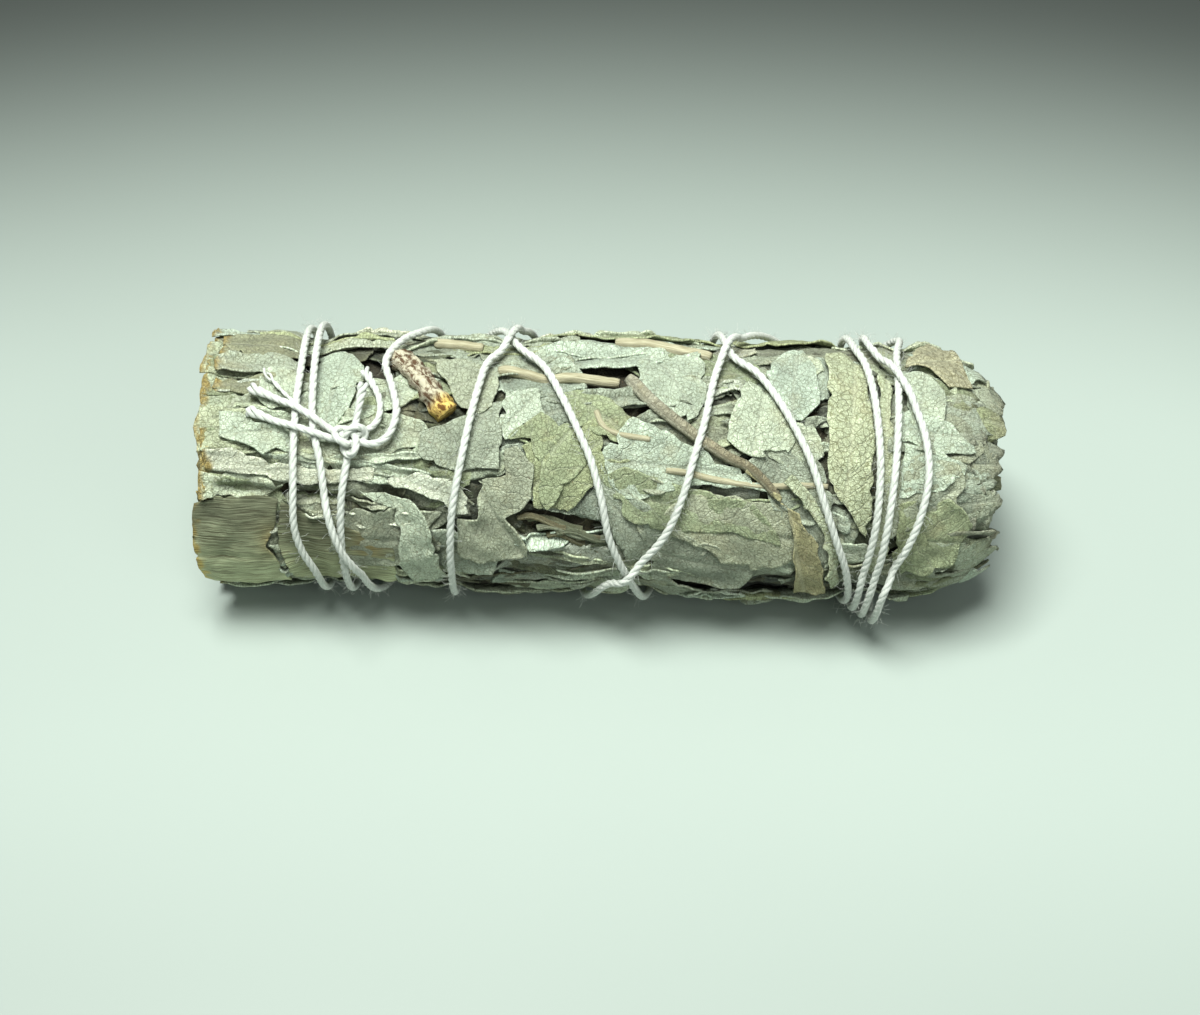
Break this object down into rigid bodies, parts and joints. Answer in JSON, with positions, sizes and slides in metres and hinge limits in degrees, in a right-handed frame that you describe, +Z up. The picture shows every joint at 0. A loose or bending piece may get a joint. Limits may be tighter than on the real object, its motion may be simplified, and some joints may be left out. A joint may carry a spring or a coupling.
{
  "type": "sage bunch",
  "caption": "Bundle of dried sage leaves on cut woody stems, wound and knotted with thin cotton string, lying on its side",
  "frame": {"origin": "bottom centre of the bounding box, on the surface that the bunch lies on", "axes": "+X runs along the bunch from the cut stems to the leaf tips, +Z is up, -Y faces the viewer"},
  "size_m": [0.0999, 0.0373, 0.035],
  "materials": {
    "sage_leaf": "dry, matt, softly downy leaf",
    "tan_leaf": "dry, matt, yellowed leaf",
    "woody_stem": "dry peeled stem",
    "bark": "dry flaking bark",
    "cotton_string": "twisted undyed cotton"
  },
  "bodies": {
    "root": {"leaf_bunch": "sage_leaf", "rolled_foot_leaf": "sage_leaf", "lower_left_leaf": "sage_leaf", "pleated_foot_leaf": "sage_leaf", "netted_foot_leaf": "sage_leaf", "flat_left_leaf": "sage_leaf", "hanging_strip_leaf": "sage_leaf", "folded_band_leaf": "sage_leaf", "broad_left_leaf": "sage_leaf", "centre_leaf": "sage_leaf", "centre_low_leaf": "sage_leaf", "midrib_leaf": "tan_leaf", "torn_top_leaf": "sage_leaf", "pale_top_leaf": "sage_leaf", "wide_head_leaf": "tan_leaf", "tan_head_leaf": "tan_leaf", "folded_strip_leaf": "tan_leaf", "ribbed_head_leaf": "sage_leaf", "smooth_head_leaf": "sage_leaf", "tan_corner_leaf": "tan_leaf", "pale_head_leaf": "sage_leaf", "stalked_leaf": "sage_leaf", "back_leaf_1": "sage_leaf", "back_leaf_2": "sage_leaf", "back_leaf_3": "sage_leaf", "back_leaf_4": "sage_leaf", "back_leaf_5": "sage_leaf", "back_leaf_6": "sage_leaf", "back_leaf_7": "sage_leaf", "back_leaf_8": "sage_leaf", "back_leaf_9": "sage_leaf", "back_leaf_10": "sage_leaf", "back_leaf_11": "sage_leaf", "back_leaf_12": "sage_leaf", "back_leaf_13": "sage_leaf", "back_leaf_14": "sage_leaf", "back_leaf_15": "sage_leaf", "back_leaf_16": "sage_leaf", "back_leaf_17": "sage_leaf", "back_leaf_18": "sage_leaf", "back_leaf_19": "sage_leaf", "back_leaf_20": "sage_leaf", "bark_stem": "bark", "tan_stem": "woody_stem", "slim_twig": "woody_stem", "midrib_twig": "woody_stem", "top_right_twig": "woody_stem", "top_left_twig": "woody_stem", "cut_stem_1": "woody_stem", "cut_stem_2": "woody_stem", "cut_stem_3": "woody_stem", "cut_stem_4": "woody_stem", "cut_stem_5": "woody_stem", "cut_stem_6": "woody_stem", "cut_stem_7": "woody_stem", "binding_string": "cotton_string"}
  },
  "joints": []
}
